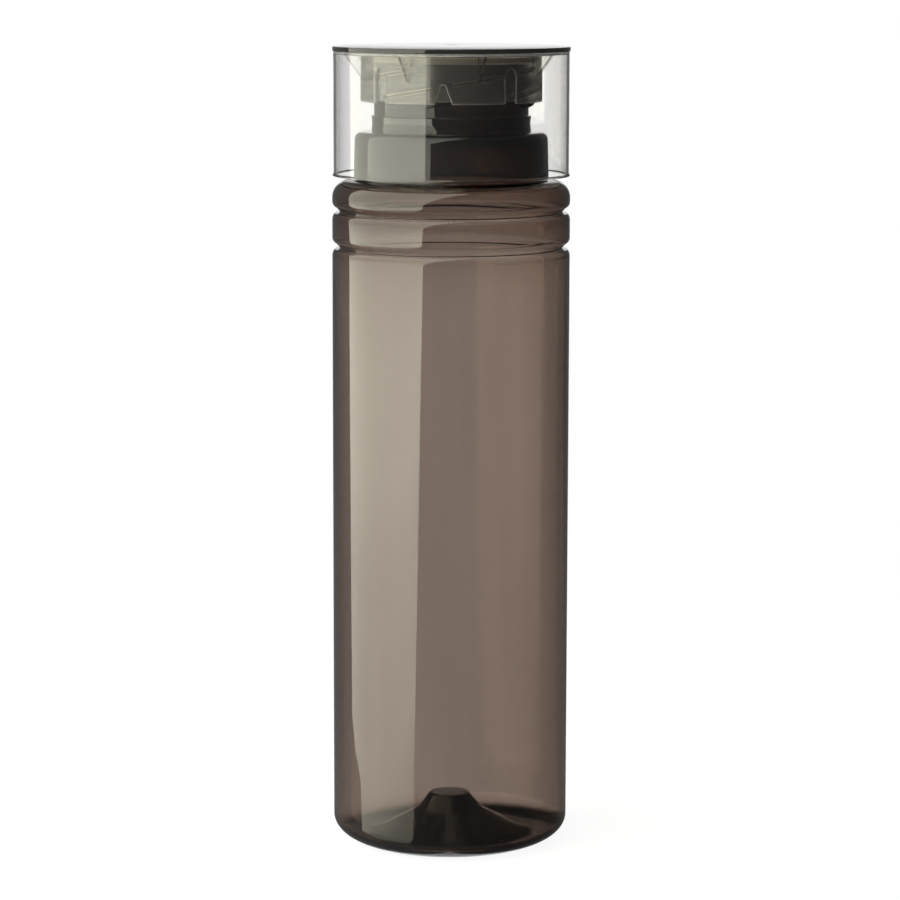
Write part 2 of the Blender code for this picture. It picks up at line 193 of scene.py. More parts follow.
ARCH_WIDTH = 0.0044
ARCH_HEIGHT = 0.0106
ARCH_SPRING_HEIGHT = 0.0082

# Clear sleeve
SLEEVE_WALL = 0.0008
SLEEVE_INSET = 0.0003
SLEEVE_LEDGE = 0.0006
SLEEVE_RIM_GAP = 0.0011
SLEEVE_LIP = 0.0003
SLEEVE_LIP_HEIGHT = 0.0008
SLEEVE_ROUNDING = 0.0002

# Heights above the standing plane
LOWER_GROOVE_Z = BARREL_HEIGHT
UPPER_GROOVE_Z = LOWER_GROOVE_Z + GROOVE_PITCH
SHOULDER_Z = UPPER_GROOVE_Z + SHOULDER_RISE
SHOULDER_FOOT_Z = SHOULDER_Z - SHOULDER_CORNER_HEIGHT
DOME_TOP_Z = SHOULDER_Z + DOME_HEIGHT
COLLAR_TOP_Z = DOME_TOP_Z + COLLAR_HEIGHT
RIM_Z = COLLAR_TOP_Z + NECK_HEIGHT
SEAL_Z = RIM_Z + SEAT_GAP
BOSS_Z = SEAL_Z + SEAL_THICKNESS + SEAT_GAP
DISC_Z = BOSS_Z + BOSS_DEPTH
TOP_Z = cad_high.z
SKIRT_END_Z = BOSS_Z - SKIRT_LENGTH
LEDGE_Z = DISC_Z - SEAT_GAP
SLEEVE_RIM_Z = SHOULDER_Z + SLEEVE_RIM_GAP

# Radii
COLLAR_RADIUS = NECK_RADIUS + COLLAR_STEP
DOME_RADIUS = COLLAR_RADIUS + DOME_STEP
BORE_RADIUS = NECK_RADIUS - NECK_WALL
SKIRT_BORE = NECK_RADIUS + THREAD_ROOM
SKIRT_RADIUS = SKIRT_BORE + SKIRT_WALL
NECK_THREAD_CREST = SKIRT_BORE - THREAD_CREST_CLEARANCE
CAP_THREAD_CREST = NECK_RADIUS + THREAD_CREST_CLEARANCE
DISC_RADIUS = BODY_RADIUS - DISC_INSET
BOSS_RADIUS = DISC_RADIUS - BOSS_INSET
SLEEVE_RADIUS = DISC_RADIUS - SLEEVE_INSET
SLEEVE_BORE = SLEEVE_RADIUS - SLEEVE_WALL

# Plastics: how much red, green and blue light each millimetre absorbs, and how they bend light
MILLIMETRE = 0.001
BODY_TINT = (1.07, 1.27, 1.41)
CAP_TINT = (0.15, 0.172, 0.21)
GUSSET_TINT = (0.12, 0.13, 0.15)
SLEEVE_TINT = (0.053, 0.058, 0.068)
TINT_HEADROOM = 1.3
BODY_IOR = 1.54
CAP_IOR = 1.6
SLEEVE_IOR = 1.49

# Lowest and highest roughness of each plastic, and the depth of its slight ripple
BODY_GLOSS = (0, 0.05)
CAP_GLOSS = (0, 0.05)
GUSSET_GLOSS = (0, 0.1)
SLEEVE_GLOSS = (0, 0.04)
BODY_RIPPLE = 0.000003
CAP_RIPPLE = 0.00001
SLEEVE_RIPPLE = 0.000015

# Patterns of scuffs and ripples
SCUFF_SCALE = 900
SCUFF_DETAIL = 4
SCUFF_ROUGHNESS = 0.6
SCUFF_START = 0.45
SCUFF_END = 0.75
RIPPLE_LENGTH = 0.012
RIPPLE_DETAIL = 1
RIPPLE_ROUGHNESS = 0.4

# Roughness that some faces have besides, and the heights over which it sets in
INSIDE_ROUGHNESS = 0.12
INSIDE_FADE = 0.012
SKIRT_ROUGHNESS = 0.03
SKIRT_INSIDE_ROUGHNESS = 0.17
SKIRT_FADE = 0.0005

# Share of the light that a part scatters
DISC_HAZE = 0.01
SKIRT_HAZE = 0.04
EDGE_HAZE = 0.3
LEDGE_HAZE = 0.11
LEDGE_FADE = 1.2

# Depths at which a change sets in and is complete, as shares of the wall
BARREL_INSIDE = (0.4, 0.6)
SKIRT_INSIDE = (0.75, 0.85)
SKIRT_SKIN = (0.03, 0.06)
RECESS_FLOOR = (0.1, 0.15)

# Silicone of the seal ring
SILICONE_DARK = (0.66, 0.62, 0.53)
SILICONE_PALE = (0.74, 0.70, 0.60)
SILICONE_ROUGHNESS = 0.5
CLOUD_SCALE = 180
CLOUD_DETAIL = 3
CLOUD_ROUGHNESS = 0.5

# Camera
LENS = 131.7
SENSOR = 36.0
CAMERA_DISTANCE = 1.0368
CAMERA_ABOVE_TOP = 0.0258
CAMERA_SIDE = -0.0002
CAMERA_TILT = radians(8.44)
CAMERA_ROLL = radians(0.12)

# Softbox at the left: its place, its outline as the bottle sees it, and its light by height
SOFTBOX_TURN = radians(75.75)
SOFTBOX_DISTANCE = 0.45
SOFTBOX_NEAR = 0.568
SOFTBOX_NEAR_LOW = 0.25
SOFTBOX_FAR = 0.35
SOFTBOX_LOW = -0.50
SOFTBOX_HIGH = 1.60
SOFTBOX_LEAN_Z = 0.25
SOFTBOX_LEAN = 0.60
SOFTBOX_CORNER = ((-0.32, 0), (-0.31, -0.10), (-0.255, -0.113), (-0.175, -0.12), (-0.05, -0.30))
SOFTBOX_COLOUR = (1.05, 1.05, 0.89)
SOFTBOX_STRENGTH = 4.2
SOFTBOX_FADE = ((-0.50, 0.20), (-0.18, 0.28), (-0.10, 0.61), (-0.02, 0.72), (0.06, 0.95), (0.10, 1.0),
                (0.15, 0.86), (0.18, 0.66), (0.23, 0.57), (1.60, 0.50))

# Backdrop and floor
BACKDROP_HALF_ANGLE = radians(9)
BACKDROP_SOFTNESS = radians(3)
STUDIO_LEFT = 0.22
STUDIO_RIGHT = 0.06
STUDIO_FILL = 0.12
FLOOR_RADIUS = 0.5
FLOOR_OWN_LIGHT = 0.93
FLOOR_ANSWER = 0.2
FLOOR_PAPER = 0.8
# Painted shade on the floor's glow seen through the plastic: its middle, and the reaches where it starts
# and ends
FLOOR_SHADE_MIDDLE = (0.006, 0.003, 0)
FLOOR_SHADE_START = 0.036
FLOOR_SHADE_END = 0.048

# Bounces of light
WALL_BOUNCES = 40
GLOSSY_BOUNCES = 16
DIFFUSE_BOUNCES = 3
LESS_THAN_ONE = 0.5


def ellipse_arc(centre, width, height, start, end):
    """Points on an upright ellipse, both ends included; angles are counted from +X."""
    steps = max(2, ceil(abs(end - start) / ARC_ANGLE))
    points = []
    for step in range(steps + 1):
        angle = start + (end - start) * step / steps
        points.append((centre[0] + width * cos(angle), centre[1] + height * sin(angle)))
    return points


def rounded(stations):
    """Turn (x, y) and (x, y, radius) stations into points, with an arc at each radius."""
    points = []
    for index, station in enumerate(stations):
        corner = Vector(station[:2])
        if len(station) == 2:
            points.append(tuple(corner))
            continue
        before = Vector(stations[index - 1][:2]) - corner
        after = Vector(stations[(index + 1) % len(stations)][:2]) - corner
        half = before.angle(after) / 2
        reach = min(station[2] * cos(half) / sin(half), before.length / 2, after.length / 2)
        radius = reach * sin(half) / cos(half)
        middle = (before.normalized() + after.normalized()).normalized()
        centre = corner + middle * (radius / sin(half))
        first = corner + before.normalized() * reach - centre
        last = corner + after.normalized() * reach - centre
        turn = first.angle_signed(last)
        steps = max(2, ceil(abs(turn) / ARC_ANGLE))
        for step in range(steps + 1):
            spoke = first.copy()
            spoke.rotate(Matrix.Rotation(-turn * step / steps, 2))
            points.append(tuple(centre + spoke))
    return points


def front_angle(angle):
    """Angle from +X of a place that lies angle to the right of the front."""
    return angle - pi / 2


def mesh_piece(name, bm):
    """Close a bmesh into a smooth object of the scene, with its faces pointing out."""
    bmesh.ops.recalc_face_normals(bm, faces=bm.faces)
    for face in bm.faces:
        face.smooth = True
    mesh = bpy.data.meshes.new(name)
    bm.to_mesh(mesh)
    bm.free()
    piece = bpy.data.objects.new(name, mesh)
    bpy.context.scene.collection.objects.link(piece)
    return piece


def turned(name, profile, closed, offset=None):
    """Turn an (x, z) profile about Z. offset gives a point's extra radius, if any."""
    bm = bmesh.new()
    rings = []
    for x, z in profile:
        if x == 0:
            rings.append([bm.verts.new((0, 0, z))])
            continue
        ring = []
        for step in range(ROUND_STEPS):
            angle = tau * step / ROUND_STEPS
            radius = x + (offset(x, z, angle) if offset else 0)
            ring.append(bm.verts.new((radius * cos(angle), radius * sin(angle), z)))
        rings.append(ring)
    pairs = list(zip(rings, rings[1:]))
    if closed:
        pairs.append((rings[-1], rings[0]))
    for one, other in pairs:
        for step in range(ROUND_STEPS):
            following = (step + 1) % ROUND_STEPS
            corners = (one[step % len(one)], one[following % len(one)],
                       other[following % len(other)], other[step % len(other)])
            bm.faces.new(tuple(dict.fromkeys(corners)))
    return mesh_piece(name, bm)


def boolean(piece, other, operation):
    """Join the tool to a piece, or cut it out, and remove the tool."""
    modifier = piece.modifiers.new(other.name, "BOOLEAN")
    modifier.operation = operation
    modifier.solver = "EXACT"
    modifier.object = other
    evaluated = piece.evaluated_get(bpy.context.evaluated_depsgraph_get())
    made = bpy.data.meshes.new_from_object(evaluated)
    piece.modifiers.clear()
    old = piece.data
    piece.data = made
    bpy.data.meshes.remove(old)
    bpy.data.objects.remove(other)


def skin(bm, rings):
    """Faces from each ring of vertices to the next, and over both ends."""
    for one, other in zip(rings, rings[1:]):
        for index in range(len(one)):
            following = (index + 1) % len(one)
            bm.faces.new((one[index], one[following], other[following], other[index]))
    bm.faces.new(rings[0])
    bm.faces.new(rings[-1])


def lofted(name, sections):
    """A closed body through (y, outline) sections, whose outlines lie in local X and Z."""
    bm = bmesh.new()
    skin(bm, [[bm.verts.new((x, y, z)) for x, z in outline] for y, outline in sections])
    return mesh_piece(name, bm)


def round_copies(name, source, first_angle, count):
    """One object that holds count turned copies of the source, which is removed."""
    bm = bmesh.new()
    for index in range(count):
        before = set(bm.verts)
        bm.from_mesh(source.data)
        added = [vert for vert in bm.verts if vert not in before]
        turn = Matrix.Rotation(first_angle + tau * index / count, 4, "Z")
        bmesh.ops.transform(bm, matrix=turn, verts=added)
    bpy.data.objects.remove(source)
    return mesh_piece(name, bm)


def helix_ridges(name, root, crest, width, spans):
    """Thread ridges with rounded ends. A span is (start angle, height there, sweep)."""
    bm = bmesh.new()
    for start, height, sweep in spans:
        rounding = width / max(root, crest)
        even = sweep - 2 * rounding
        steps = max(2, round(even / THREAD_STEP))
        ease = [rounding * (1 - cos(pi / 2 * step / THREAD_END_STEPS))
                for step in range(THREAD_END_STEPS)]
        angles = ease + [rounding + even * step / steps for step in range(steps + 1)]
        angles += [sweep - angle for angle in reversed(ease)]
        skin(bm, [ridge_section(bm, root, crest, width, start, height, sweep, rounding, angle)
                  for angle in angles])
    return mesh_piece(name, bm)


def ridge_section(bm, root, crest, width, start, height, sweep, rounding, angle):
    """One section of a thread ridge, lower and narrower within its rounded ends."""
    from_end = min(angle, sweep - angle, rounding) / rounding
    share = sqrt(max(0, 1 - (1 - from_end) ** 2))
    width_share = THREAD_END_WIDTH + (1 - THREAD_END_WIDTH) * share
    half = width / 2 * width_share
    flank = THREAD_FLANK * width_share
    reach = root + (crest - root) * (THREAD_END_REACH + (1 - THREAD_END_REACH) * share)
    middle = height + THREAD_LEAD * angle / tau
    turn = front_angle(start + angle)
    shoulder = root + (reach - root) * THREAD_SHOULDER
    at_shoulder = half - flank * (1 - THREAD_SHOULDER_EASE)
    at_crest = half - flank * (1 + THREAD_SHOULDER_EASE)
    corners = ((root, -half), (shoulder, -at_shoulder), (reach, -at_crest),
               (reach, at_crest), (shoulder, at_shoulder), (root, half))
    return [bm.verts.new((radius * cos(turn), radius * sin(turn), middle + rise))
            for radius, rise in corners]


def groove_stations(middle, radius, valley_rounding=GROOVE_VALLEY_ROUNDING):
    """The stations of one groove, from its upper edge to its lower edge."""
    return [
        (radius, middle + GROOVE_UPPER_FLANK, GROOVE_UPPER_ROUNDING),
        (radius - GROOVE_DEPTH, middle, valley_rounding),
        *ellipse_arc((radius - BAND_CORNER_WIDTH, middle - GROOVE_LOWER_FLANK - BAND_CORNER_HEIGHT),
                     BAND_CORNER_WIDTH, BAND_CORNER_HEIGHT, pi / 2, 0),
    ]


def inner_radius_at(height):
    """Inner radius of the barrel, whose wall grows thicker towards the shoulder."""
    share = max(0, (height - UPPER_BARREL_Z) / (UPPER_GROOVE_Z - UPPER_BARREL_Z))
    return BODY_RADIUS - BODY_WALL - (UPPER_BAND_WALL - BODY_WALL) * share * share


def body_profile():
    """Inner floor, inner wall, rim, outer wall and base of the bottle, axis to axis."""
    shoulder_start = BODY_RADIUS - SHOULDER_CORNER_WIDTH
    dome_foot = DOME_RADIUS + DOME_FLARE
    heel_start = BODY_RADIUS - HEEL_WIDTH
    floor = rounded([
        (0, PUNT_HEIGHT + BOSS_WALL),
        (PUNT_BOSS_RADIUS + INNER_BOSS_WIDENING, PUNT_HEIGHT + BOSS_WALL, INNER_BOSS_ROUNDING),
        (PUNT_KNEE_RADIUS, PUNT_KNEE_HEIGHT + KNEE_WALL, PUNT_ROUNDING),
        (heel_start, BASE_WALL, FLOOR_ROUNDING),
        (heel_start + HEEL_WIDTH / 2, BASE_WALL),
    ])[:-1]
    inner_heel = ellipse_arc((heel_start, HEEL_HEIGHT), HEEL_WIDTH - BODY_WALL,
                             HEEL_HEIGHT - BASE_WALL, INNER_HEEL_START, 0)
    low, high = HEEL_HEIGHT, LOWER_GROOVE_Z - GROOVE_UPPER_FLANK
    ring_heights = [low + (high - low) * ring / WALL_RINGS for ring in range(1, WALL_RINGS + 1)]
    inner_barrel = [(inner_radius_at(height), height) for height in ring_heights]
    lower_groove, upper_groove = (groove_stations(z, inner_radius_at(z), INNER_VALLEY_ROUNDING)
                                  for z in (LOWER_GROOVE_Z, UPPER_GROOVE_Z))
    inner_grooves = rounded([
        (inner_radius_at(high), high),
        *reversed(lower_groove),
        *reversed(upper_groove),
        (BODY_RADIUS - SHOULDER_SIDE_WALL, SHOULDER_FOOT_Z),
    ])[1:-1]
    inner_shoulder = ellipse_arc((shoulder_start, SHOULDER_FOOT_Z),
                                 SHOULDER_CORNER_WIDTH - SHOULDER_SIDE_WALL,
                                 SHOULDER_CORNER_HEIGHT - SHOULDER_TOP_WALL, 0, pi / 2)
    collar_middle_z = (DOME_TOP_Z + COLLAR_TOP_Z) / 2
    neck = rounded([
        (shoulder_start, SHOULDER_Z - SHOULDER_TOP_WALL),
        (dome_foot - DOME_WALL, SHOULDER_Z - SHOULDER_TOP_WALL, RIM_ROUNDING),
        (DOME_RADIUS - DOME_WALL, DOME_TOP_Z - DOME_WALL, DOME_CORNER - DOME_WALL / 2),
        (BORE_RADIUS, DOME_TOP_Z - DOME_WALL, DOME_CORNER),
        (BORE_RADIUS, RIM_Z, RIM_ROUNDING),
        (NECK_RADIUS, RIM_Z, RIM_ROUNDING),
        (NECK_RADIUS, COLLAR_TOP_Z, COLLAR_ROUNDING),
        (COLLAR_RADIUS, COLLAR_TOP_Z, COLLAR_ROUNDING),
        (COLLAR_RADIUS - COLLAR_WAIST, collar_middle_z, COLLAR_HEIGHT),
        (COLLAR_RADIUS, DOME_TOP_Z, COLLAR_ROUNDING),
        (DOME_RADIUS, DOME_TOP_Z, DOME_CORNER),
        (dome_foot, SHOULDER_Z, DOME_FOOT_ROUNDING),
        (shoulder_start, SHOULDER_Z),
    ])[1:-1]
    shoulder = ellipse_arc((shoulder_start, SHOULDER_FOOT_Z), SHOULDER_CORNER_WIDTH,
                           SHOULDER_CORNER_HEIGHT, pi / 2, 0)
    wall = rounded([
        (BODY_RADIUS, SHOULDER_FOOT_Z),
        *groove_stations(UPPER_GROOVE_Z, BODY_RADIUS),
        *groove_stations(LOWER_GROOVE_Z, BODY_RADIUS),
        (BODY_RADIUS, HEEL_HEIGHT),
    ])[1:-1]
    heel = ellipse_arc((heel_start, HEEL_HEIGHT), HEEL_WIDTH, HEEL_HEIGHT, 0, -pi / 2)
    base = rounded([
        (heel_start, 0),
        (heel_start - STANDING_RING_WIDTH, 0, RIM_ROUNDING),
        (PUNT_KNEE_RADIUS, PUNT_KNEE_HEIGHT, PUNT_ROUNDING),
        (PUNT_BOSS_RADIUS, PUNT_HEIGHT, PUNT_BOSS_ROUNDING),
        (0, PUNT_HEIGHT),
    ])[1:]
    inside = floor + inner_heel + inner_barrel + inner_grooves + inner_shoulder
    return inside + neck + shoulder + wall + heel + base


def wall_variation(x, z, angle):
    """How far the blown inner wall of the barrel lies from a true cylinder."""
    top = LOWER_GROOVE_Z - GROOVE_UPPER_FLANK
    if abs(x - inner_radius_at(z)) > SAME_RADIUS or not HEEL_HEIGHT < z < top:
        return 0
    fade = min(1, (z - HEEL_HEIGHT) / HEEL_WIDTH, (top - z) / HEEL_WIDTH)
    across, along = x * cos(angle), x * sin(angle)
    wave = noise.noise(Vector((across / WAVE_WIDTH, along / WAVE_WIDTH, z / WAVE_HEIGHT)))
    streak = noise.noise(Vector((across / STREAK_WIDTH, along / STREAK_WIDTH, z / STREAK_HEIGHT)))
    return fade * (WAVE_DEPTH * wave + STREAK_DEPTH * streak)


def cap_profile():
    """Disc, boss and skirt of the screw cap, from the top of its axis to its underside."""
    return rounded([
        (0, TOP_Z - GATE_DEPTH),
        (GATE_RADIUS, TOP_Z - GATE_DEPTH, BOSS_ROUNDING),
        (GATE_RADIUS + GATE_DEPTH, TOP_Z, BOSS_ROUNDING),
        (DISC_RADIUS - DISC_BEVEL_WIDTH, TOP_Z),
        (DISC_RADIUS, TOP_Z - DISC_BEVEL_DROP, DISC_ROUNDING),
        (DISC_RADIUS, LEDGE_Z + HAIR_GAP, BOSS_ROUNDING),
        (BOSS_RADIUS, LEDGE_Z + HAIR_GAP),
        (BOSS_RADIUS, BOSS_Z, BOSS_EDGE_ROUNDING),
        (SKIRT_RADIUS, BOSS_Z, BOSS_ROUNDING),
        (SKIRT_RADIUS, SKIRT_END_Z, SKIRT_ROUNDING),
        (SKIRT_BORE + MOUTH_WIDENING, SKIRT_END_Z, MOUTH_ROUNDING),
        (SKIRT_BORE + MOUTH_WIDENING, SKIRT_END_Z + MOUTH_HEIGHT),
        (SKIRT_BORE, SKIRT_END_Z + MOUTH_HEIGHT, MOUTH_ROUNDING),
        (SKIRT_BORE, BOSS_Z, BOSS_ROUNDING),
        (0, BOSS_Z),
    ])


def sleeve_profile():
    """The sleeve's ledge and wall, with a small lip at its lower rim."""
    lip_radius = SLEEVE_RADIUS + SLEEVE_LIP
    return rounded([
        (BOSS_RADIUS + SEAT_GAP, LEDGE_Z),
        (SLEEVE_RADIUS, LEDGE_Z, SLEEVE_LIP),
        (SLEEVE_RADIUS, SLEEVE_RIM_Z + SLEEVE_LIP_HEIGHT, SLEEVE_ROUNDING),
        (lip_radius, SLEEVE_RIM_Z + SLEEVE_LIP, SLEEVE_ROUNDING),
        (lip_radius, SLEEVE_RIM_Z, SLEEVE_ROUNDING),
        (SLEEVE_BORE, SLEEVE_RIM_Z, SLEEVE_ROUNDING),
        (SLEEVE_BORE, LEDGE_Z - SLEEVE_LEDGE, SLEEVE_LIP),
        (BOSS_RADIUS + SEAT_GAP, LEDGE_Z - SLEEVE_LEDGE),
    ])


def seal_profile():
    """A flat ring with softened edges."""
    outer = SKIRT_BORE - SEAT_GAP
    inner = outer - SEAL_WIDTH
    return rounded([
        (inner, SEAL_Z + SEAL_THICKNESS, SEAL_ROUNDING),
        (outer, SEAL_Z + SEAL_THICKNESS, SEAL_ROUNDING),
        (outer, SEAL_Z, SEAL_ROUNDING),
        (inner, SEAL_Z, SEAL_ROUNDING),
    ])


def make_body():
    """The bottle with the ridges of its neck's thread."""
    body = turned("smoke_bottle", body_profile(), False, wall_variation)
    spans = [(NECK_THREAD_START_ANGLE + tau * start / THREAD_STARTS, RIM_Z - NECK_THREAD_START_DEPTH,
              NECK_THREAD_SWEEP) for start in range(THREAD_STARTS)]
    boolean(body, helix_ridges("neck_thread", NECK_RADIUS - SUNK, NECK_THREAD_CREST,
                               NECK_THREAD_WIDTH, spans), "UNION")
    return body


def cap_thread_height(angle):
    """Height of the cap's thread at an angle, drawn up against the thread above it."""
    drop = (NECK_THREAD_WIDTH + CAP_THREAD_WIDTH) / 2 + THREAD_CLEARANCE
    turns = (angle - NECK_THREAD_START_ANGLE) / tau + 1 / THREAD_STARTS
    return RIM_Z - NECK_THREAD_START_DEPTH - drop + THREAD_LEAD * turns


def make_cap():
    """The screw cap with its thread, which the notches and arches interrupt."""
    cap = turned("smoke_cap", cap_profile(), False)
    past_notch = CAP_THREAD_GAP / 2
    to_arch = pi / NOTCH_PAIRS
    spans = []
    for start in range(THREAD_STARTS):
        notch = NOTCH_ANGLE + tau * start / THREAD_STARTS
        after_notch = cap_thread_height(NOTCH_ANGLE + past_notch)
        after_arch = cap_thread_height(NOTCH_ANGLE - to_arch)
        spans.append((notch + past_notch, after_notch, CAP_THREAD_SWEEP))
        spans.append((notch - to_arch, after_arch, to_arch - past_notch))
    boolean(cap, helix_ridges("cap_thread", SKIRT_BORE + SUNK, CAP_THREAD_CREST,
                              CAP_THREAD_WIDTH, spans), "UNION")
    boolean(cap, skirt_recesses("notches", notch_outline, NOTCH_ANGLE), "DIFFERENCE")
    boolean(cap, skirt_recesses("arches", arch_outline, NOTCH_ANGLE + to_arch), "DIFFERENCE")
    return cap


def gussets():
    """Thin upright plates that taper from the boss down to the skirt."""
    inner = SKIRT_RADIUS - SUNK
    outer = BOSS_RADIUS - GUSSET_EDGE_INSET
    outline = [
        (inner, BOSS_Z + SUNK),
        (inner, BOSS_Z - GUSSET_HEIGHT),
        (SKIRT_RADIUS, BOSS_Z - GUSSET_HEIGHT),
        (outer, BOSS_Z - GUSSET_EDGE_INSET),
        (outer, BOSS_Z + SUNK),
    ]
    plate = lofted("gusset", [(-GUSSET_THICKNESS / 2, outline), (GUSSET_THICKNESS / 2, outline)])
    first = NOTCH_ANGLE + pi / GUSSET_COUNT
    return round_copies("gussets", plate, front_angle(first), GUSSET_COUNT)


def notch_outline(wider):
    """Wedge-shaped recess with a rounded top, across and up from the skirt's edge."""
    spread = (NOTCH_WIDTH - NOTCH_TOP_WIDTH) / 2 / NOTCH_HEIGHT
    half_low = NOTCH_WIDTH / 2 + spread * OVERRUN + wider
    half_top = NOTCH_TOP_WIDTH / 2 + wider
    crown = ellipse_arc((0, NOTCH_HEIGHT - NOTCH_TOP_WIDTH / 2), half_top, half_top, 0, pi)
    return [(-half_low, -OVERRUN), (half_low, -OVERRUN), *crown]


def arch_outline(wider):
    """Tall recess with straight sides and a rounded, slightly pointed top."""
    half = ARCH_WIDTH / 2 + wider
    rise = ARCH_HEIGHT - ARCH_SPRING_HEIGHT + wider
    crown = ellipse_arc((0, ARCH_SPRING_HEIGHT), half, rise, 0, pi)
    return [(-half, -OVERRUN), (half, -OVERRUN), *crown]


def skirt_recesses(name, outline, first_angle):
    """Cutters that leave a thin web of the skirt and bevel its outer edge, at even steps."""
    cutter = lofted(name, [(-(SKIRT_RADIUS + OVERRUN), outline(RECESS_EDGE + OVERRUN)),
                           (-(SKIRT_RADIUS - RECESS_EDGE), outline(0)),
                           (-(SKIRT_RADIUS - RECESS_DEPTH), outline(0))])
    cutter.data.transform(Matrix.Translation((0, 0, SKIRT_END_Z)))
    return round_copies(name, cutter, first_angle, NOTCH_PAIRS)


def shade(piece):
    """Smooth the piece, but keep its sharper edges crisp."""
    piece.data.shade_smooth()
    piece.data.set_sharp_from_angle(angle=CRISP_EDGE)


def nodes_of(material):
    """The material's node tree, and a helper that adds a node with given inputs."""
    tree = material.node_tree

    def add(kind, **inputs):
        node = tree.nodes.new(kind)
        for name, value in inputs.items():
            node.inputs[name.replace("_", " ")].default_value = value
        return node

    return tree, add


def new_material(name):
    """A new material, with its node tree and the helper that adds nodes to it."""
    material = bpy.data.materials.new(name)
    material.use_nodes = True
    return material, *nodes_of(material)


def plastic(name, tint, ior, gloss_range, ripple_depth):
    """See-through plastic whose walls absorb light by their thickness."""
    material, tree, add = new_material(name)
    shader = tree.nodes["Principled BSDF"]
    shader.inputs["Base Color"].default_value = (1, 1, 1, 1)
    shader.inputs["Transmission Weight"].default_value = 1
    shader.inputs["IOR"].default_value = ior
    place = add("ShaderNodeTexCoord")
    scuffs = add("ShaderNodeTexNoise", Scale=SCUFF_SCALE, Detail=SCUFF_DETAIL, Roughness=SCUFF_ROUGHNESS)
    tree.links.new(place.outputs["Object"], scuffs.inputs["Vector"])
    gloss = add("ShaderNodeMapRange", From_Min=SCUFF_START, From_Max=SCUFF_END, To_Min=gloss_range[0],
                To_Max=gloss_range[1])
    tree.links.new(scuffs.outputs["Fac"], gloss.inputs["Value"])
    tree.links.new(gloss.outputs["Result"], shader.inputs["Roughness"])
    ripple = add("ShaderNodeTexNoise", Scale=1 / RIPPLE_LENGTH, Detail=RIPPLE_DETAIL,
                 Roughness=RIPPLE_ROUGHNESS)
    tree.links.new(place.outputs["Object"], ripple.inputs["Vector"])
    bump = add("ShaderNodeBump", Strength=1, Distance=ripple_depth)
    tree.links.new(ripple.outputs["Fac"], bump.inputs["Height"])
    tree.links.new(bump.outputs["Normal"], shader.inputs["Normal"])
    density = max(tint) * TINT_HEADROOM / MILLIMETRE
    colour = [1 - one / MILLIMETRE / density for one in tint]
    absorption = add("ShaderNodeVolumeAbsorption", Color=(*colour, 1), Density=density)
    tree.links.new(absorption.outputs["Volume"], tree.nodes["Material Output"].inputs["Volume"])
    return material


def roughen(material, value, low, high, roughness, within=None):
    """Add roughness where a node's output rises from low to high, and within allows it."""
    tree, add = nodes_of(material)
    shader = tree.nodes["Principled BSDF"]
    share = add("ShaderNodeMapRange", From_Min=low, From_Max=high, To_Min=0, To_Max=roughness)
    tree.links.new(value, share.inputs["Value"])
    if within:
        tree.links.new(within, share.inputs["To Max"])
    summed = add("ShaderNodeMath")
    summed.operation = "ADD"
    tree.links.new(shader.inputs["Roughness"].links[0].from_socket, summed.inputs[0])
    tree.links.new(share.outputs["Result"], summed.inputs[1])
    tree.links.new(summed.outputs["Value"], shader.inputs["Roughness"])


def height_and_reach(tree, add):
    """Outputs that give a point's height and its distance from the axis."""
    place = add("ShaderNodeTexCoord")
    parts = add("ShaderNodeSeparateXYZ")
    tree.links.new(place.outputs["Object"], parts.inputs["Vector"])
    flat = add("ShaderNodeVectorMath")
    flat.operation = "MULTIPLY"
    flat.inputs[1].default_value = (1, 1, 0)
    tree.links.new(place.outputs["Object"], flat.inputs[0])
    reach = add("ShaderNodeVectorMath")
    reach.operation = "LENGTH"
    tree.links.new(flat.outputs["Vector"], reach.inputs[0])
    return parts.outputs["Z"], reach.outputs["Value"]


def roughen_barrel_inside(material):
    """Roughen the barrel's inner face, which no mould has polished."""
    tree, add = nodes_of(material)
    height, reach = height_and_reach(tree, add)
    middle = (HEEL_HEIGHT + LOWER_GROOVE_Z) / 2
    from_middle = add("ShaderNodeMath")
    from_middle.operation = "SUBTRACT"
    from_middle.inputs[1].default_value = middle
    tree.links.new(height, from_middle.inputs[0])
    distance = add("ShaderNodeMath")
    distance.operation = "ABSOLUTE"
    tree.links.new(from_middle.outputs["Value"], distance.inputs[0])
    half = LOWER_GROOVE_Z - GROOVE_UPPER_FLANK - middle
    within = add("ShaderNodeMapRange", From_Min=half - INSIDE_FADE, From_Max=half - 2 * INSIDE_FADE,
                 To_Min=0, To_Max=INSIDE_ROUGHNESS)
    tree.links.new(distance.outputs["Value"], within.inputs["Value"])
    inner_face = [BODY_RADIUS - BODY_WALL * share for share in BARREL_INSIDE]
    roughen(material, reach, *inner_face, INSIDE_ROUGHNESS, within.outputs["Result"])


